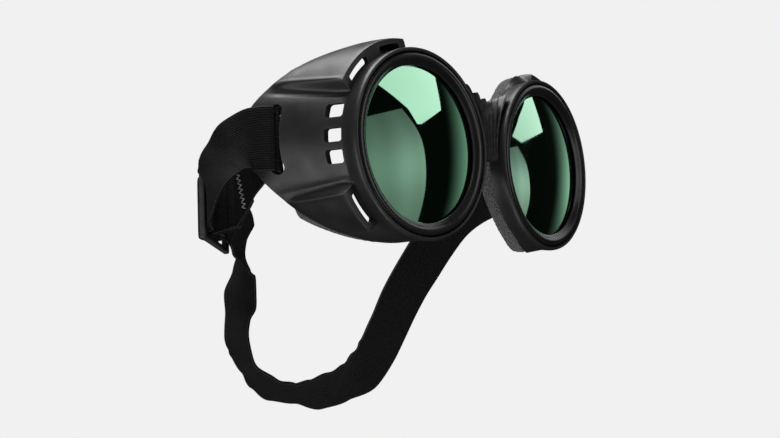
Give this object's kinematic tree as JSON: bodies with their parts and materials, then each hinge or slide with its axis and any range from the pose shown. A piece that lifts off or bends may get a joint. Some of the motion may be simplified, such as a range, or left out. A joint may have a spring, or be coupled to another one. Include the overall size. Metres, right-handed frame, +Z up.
{
  "type": "welding goggles",
  "caption": "Round-lens welding goggles: two vented flexible eye cups with foam pads and screw-in lens rings, a fluted rubber nose bridge and an elastic strap with a slide buckle.",
  "frame": {"origin": "face seat: the point midway between the two foam pads where the bridge of the nose carries the goggles", "axes": "+Y from the goggles towards the face, so the lenses look along -Y; +Z up; +X towards the wearer's left"},
  "size_m": [0.1585, 0.0708, 0.1115],
  "materials": {
    "cup_black_pvc": "satin black moulded PVC",
    "ring_black_nylon": "satin black nylon",
    "filter_green_glass": "dark green filter glass with a mirror-like front",
    "seal_rubber": "matte black rubber",
    "foam_charcoal": "open-cell charcoal foam",
    "bridge_rubber": "matte black moulded rubber",
    "strap_elastic": "black woven elastic with fine lengthwise ribs",
    "buckle_black_nylon": "satin black nylon",
    "thread_grey": "light grey polyester thread"
  },
  "bodies": {
    "left_eyepiece": {"eye_cup_left": "cup_black_pvc", "filter_lens_left": "filter_green_glass", "lens_seal_left": "seal_rubber", "foam_pad_left": "foam_charcoal", "nose_bridge": "bridge_rubber", "strap_outer_run": "strap_elastic", "strap_inner_run": "strap_elastic", "stitching_left": "thread_grey", "strap_loop": "strap_elastic"},
    "right_eyepiece": {"eye_cup_right": "cup_black_pvc", "filter_lens_right": "filter_green_glass", "lens_seal_right": "seal_rubber", "foam_pad_right": "foam_charcoal", "strap_right_end": "strap_elastic", "stitching_right": "thread_grey"},
    "left_ring": {"lens_ring_left": "ring_black_nylon"},
    "right_ring": {"lens_ring_right": "ring_black_nylon"},
    "buckle": {"slide_buckle": "buckle_black_nylon", "strap_end_loop": "strap_elastic"}
  },
  "joints": [
    {"name": "bridge_flex", "type": "hinge", "parent": "left_eyepiece", "child": "right_eyepiece", "pos_m": [0, -0.0096, 0.0078], "axis": [0, 0, 1], "range_deg": [-12, 30], "stiffness_Nm_per_rad": 0.05, "deforming": ["nose_bridge", "strap_loop"]},
    {"name": "left_ring_turn", "type": "hinge", "parent": "left_eyepiece", "child": "left_ring", "pos_m": [-0.03345, -0.012, 0], "axis": [-0.0732, -0.9973, 0], "continuous": true},
    {"name": "right_ring_turn", "type": "hinge", "parent": "right_eyepiece", "child": "right_ring", "pos_m": [0.03345, -0.012, 0], "axis": [0.0732, -0.9973, 0], "continuous": true},
    {"name": "buckle_slide", "type": "slide", "parent": "left_eyepiece", "child": "buckle", "axis": [0.8814, 0.4407, -0.1703], "range_m": [-0.003, 0.01], "deforming": ["strap_outer_run", "strap_inner_run", "strap_loop"]}
  ]
}
